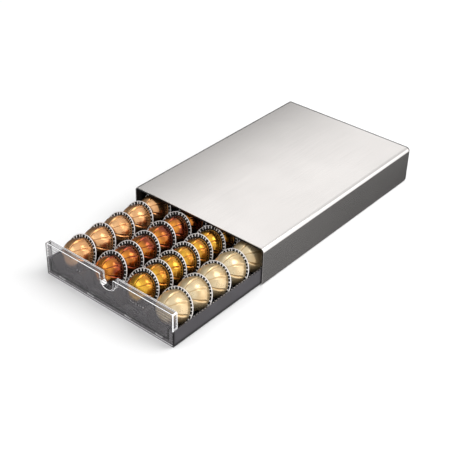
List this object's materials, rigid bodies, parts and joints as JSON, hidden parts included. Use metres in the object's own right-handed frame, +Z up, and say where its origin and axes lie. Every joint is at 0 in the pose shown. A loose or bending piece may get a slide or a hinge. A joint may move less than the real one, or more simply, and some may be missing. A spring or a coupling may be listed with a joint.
{
  "type": "coffee pod drawer",
  "caption": "Flat steel-wrapped storage drawer for dome-shaped coffee pods, with a clear finger-notched front and a toothed rack, shown partly open.",
  "frame": {"origin": "centre of the housing's flat underside, on the table", "axes": "+X to the right seen from the front, +Y towards the back of the housing, +Z up; the drawer opens towards -Y"},
  "size_m": [0.26, 0.596, 0.065],
  "materials": {
    "stainless": "satin",
    "black_moulding": "satin",
    "painted_base": "matte",
    "rubber": "matte",
    "zinc_steel": "satin",
    "glide_plastic": "satin",
    "grey_moulding": "satin",
    "black_gloss": "gloss",
    "clear_plastic": "gloss",
    "copper_foil": "satin",
    "amber_foil": "satin",
    "gold_foil": "satin",
    "cream_foil": "satin"
  },
  "bodies": {
    "housing": {"outer_sleeve": "stainless", "inner_liner": "black_moulding", "base_plate": "painted_base", "rear_panel": "black_moulding", "feet": "rubber", "housing_screws": "zinc_steel", "rear_bumpers": "rubber", "travel_stops": "black_moulding", "left_rail": "glide_plastic", "right_rail": "glide_plastic"},
    "drawer": {"drawer_tray": "grey_moulding", "pod_rack": "black_gloss", "front_panel": "clear_plastic", "left_glide": "glide_plastic", "right_glide": "glide_plastic", "copper_pod_01": "copper_foil", "copper_pod_02": "copper_foil", "copper_pod_03": "copper_foil", "copper_pod_04": "copper_foil", "copper_pod_05": "copper_foil", "copper_pod_06": "copper_foil", "copper_pod_07": "copper_foil", "copper_pod_08": "copper_foil", "copper_pod_09": "copper_foil", "amber_pod_01": "amber_foil", "amber_pod_02": "amber_foil", "amber_pod_03": "amber_foil", "amber_pod_04": "amber_foil", "amber_pod_05": "amber_foil", "amber_pod_06": "amber_foil", "amber_pod_07": "amber_foil", "amber_pod_08": "amber_foil", "amber_pod_09": "amber_foil", "amber_pod_10": "amber_foil", "gold_pod_01": "gold_foil", "gold_pod_02": "gold_foil", "gold_pod_03": "gold_foil", "gold_pod_04": "gold_foil", "gold_pod_05": "gold_foil", "gold_pod_06": "gold_foil", "gold_pod_07": "gold_foil", "gold_pod_08": "gold_foil", "gold_pod_09": "gold_foil", "gold_pod_10": "gold_foil", "gold_pod_11": "gold_foil", "gold_pod_12": "gold_foil", "cream_pod_01": "cream_foil", "cream_pod_02": "cream_foil", "cream_pod_03": "cream_foil", "cream_pod_04": "cream_foil", "cream_pod_05": "cream_foil", "cream_pod_06": "cream_foil", "cream_pod_07": "cream_foil", "cream_pod_08": "cream_foil", "cream_pod_09": "cream_foil"}
  },
  "joints": [
    {"name": "drawer_slide", "type": "slide", "parent": "housing", "child": "drawer", "axis": [0, -1, 0], "range_m": [-0.192, 0.158]}
  ]
}
